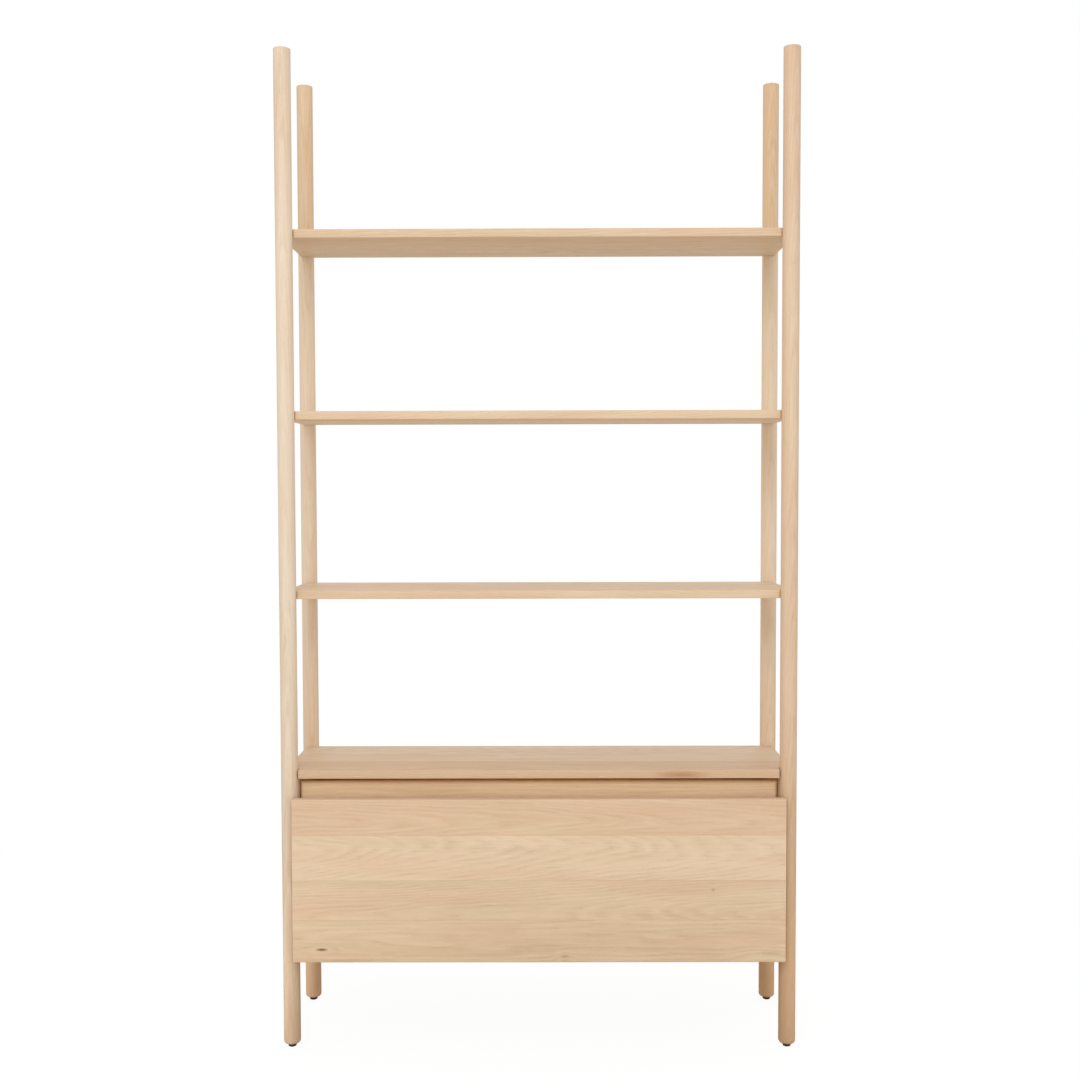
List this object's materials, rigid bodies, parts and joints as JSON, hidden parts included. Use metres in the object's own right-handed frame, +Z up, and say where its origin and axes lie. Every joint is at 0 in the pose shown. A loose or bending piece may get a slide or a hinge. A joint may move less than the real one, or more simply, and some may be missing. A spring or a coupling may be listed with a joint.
{
  "type": "bookcase with bottom drawer",
  "caption": "Tall open bookcase of pale oak: round posts carry notched shelves and a low cabinet with a full-width drawer on ball-bearing runners.",
  "frame": {"origin": "on the floor, under the middle of the outline", "axes": "+X to the right seen from the front, +Y to the back, +Z up; the drawer opens towards -Y"},
  "size_m": [1.1, 0.302, 2.115],
  "materials": {
    "oak": "matt oiled oak",
    "drawer_wood": "matt lacquered light hardwood",
    "beech": "raw beech dowel",
    "glide_plastic": "dark brown moulded plastic",
    "zinc_steel": "bright zinc plated steel",
    "bumper_rubber": "soft clear rubber"
  },
  "bodies": {
    "frame": {"post_front_left": "oak", "post_front_right": "oak", "post_back_left": "oak", "post_back_right": "oak", "glide_front_left": "glide_plastic", "glide_front_right": "glide_plastic", "glide_back_left": "glide_plastic", "glide_back_right": "glide_plastic", "cabinet_top": "oak", "shelf_lower": "oak", "shelf_middle": "oak", "shelf_top": "oak", "cabinet_top_dowel_front_left": "beech", "cabinet_top_dowel_front_right": "beech", "cabinet_top_dowel_back_left": "beech", "cabinet_top_dowel_back_right": "beech", "shelf_lower_dowel_front_left": "beech", "shelf_lower_dowel_front_right": "beech", "shelf_lower_dowel_back_left": "beech", "shelf_lower_dowel_back_right": "beech", "shelf_middle_dowel_front_left": "beech", "shelf_middle_dowel_front_right": "beech", "shelf_middle_dowel_back_left": "beech", "shelf_middle_dowel_back_right": "beech", "shelf_top_dowel_front_left": "beech", "shelf_top_dowel_front_right": "beech", "shelf_top_dowel_back_left": "beech", "shelf_top_dowel_back_right": "beech", "cabinet_side_left": "oak", "cabinet_side_right": "oak", "cabinet_bottom": "oak", "cabinet_back": "oak", "runner_left_cabinet_member": "zinc_steel", "runner_right_cabinet_member": "zinc_steel"},
    "drawer": {"drawer_front": "oak", "drawer_inner_front": "oak", "drawer_back": "drawer_wood", "drawer_bottom": "drawer_wood", "drawer_batten_upper": "oak", "drawer_batten_lower": "oak", "drawer_side_left": "drawer_wood", "drawer_side_right": "drawer_wood", "drawer_bumper_left": "bumper_rubber", "drawer_bumper_right": "bumper_rubber", "drawer_screw_upper_left": "zinc_steel", "drawer_screw_upper_right": "zinc_steel", "drawer_screw_lower_left": "zinc_steel", "drawer_screw_lower_right": "zinc_steel", "runner_left_drawer_member": "zinc_steel", "runner_right_drawer_member": "zinc_steel"},
    "runner_left_middle": {"runner_left_middle_member": "zinc_steel"},
    "runner_left_outer_balls": {"runner_left_outer_cage": "zinc_steel"},
    "runner_left_inner_balls": {"runner_left_inner_cage": "zinc_steel"},
    "runner_right_middle": {"runner_right_middle_member": "zinc_steel"},
    "runner_right_outer_balls": {"runner_right_outer_cage": "zinc_steel"},
    "runner_right_inner_balls": {"runner_right_inner_cage": "zinc_steel"}
  },
  "joints": [
    {"name": "drawer_slide", "type": "slide", "parent": "frame", "child": "drawer", "axis": [0, -1, 0], "range_m": [0, 0.175]},
    {"name": "runner_left_middle_slide", "type": "slide", "parent": "frame", "child": "runner_left_middle", "axis": [0, -1, 0], "range_m": [0, 0.0875]},
    {"name": "runner_left_outer_balls_slide", "type": "slide", "parent": "frame", "child": "runner_left_outer_balls", "axis": [0, -1, 0], "range_m": [0, 0.04375]},
    {"name": "runner_left_inner_balls_slide", "type": "slide", "parent": "frame", "child": "runner_left_inner_balls", "axis": [0, -1, 0], "range_m": [0, 0.13125]},
    {"name": "runner_right_middle_slide", "type": "slide", "parent": "frame", "child": "runner_right_middle", "axis": [0, -1, 0], "range_m": [0, 0.0875]},
    {"name": "runner_right_outer_balls_slide", "type": "slide", "parent": "frame", "child": "runner_right_outer_balls", "axis": [0, -1, 0], "range_m": [0, 0.04375]},
    {"name": "runner_right_inner_balls_slide", "type": "slide", "parent": "frame", "child": "runner_right_inner_balls", "axis": [0, -1, 0], "range_m": [0, 0.13125]}
  ],
  "couplings": [
    {"joint": "runner_left_middle_slide", "follows": "drawer_slide", "ratio": 0.5},
    {"joint": "runner_left_outer_balls_slide", "follows": "drawer_slide", "ratio": 0.25},
    {"joint": "runner_left_inner_balls_slide", "follows": "drawer_slide", "ratio": 0.75},
    {"joint": "runner_right_middle_slide", "follows": "drawer_slide", "ratio": 0.5},
    {"joint": "runner_right_outer_balls_slide", "follows": "drawer_slide", "ratio": 0.25},
    {"joint": "runner_right_inner_balls_slide", "follows": "drawer_slide", "ratio": 0.75}
  ]
}
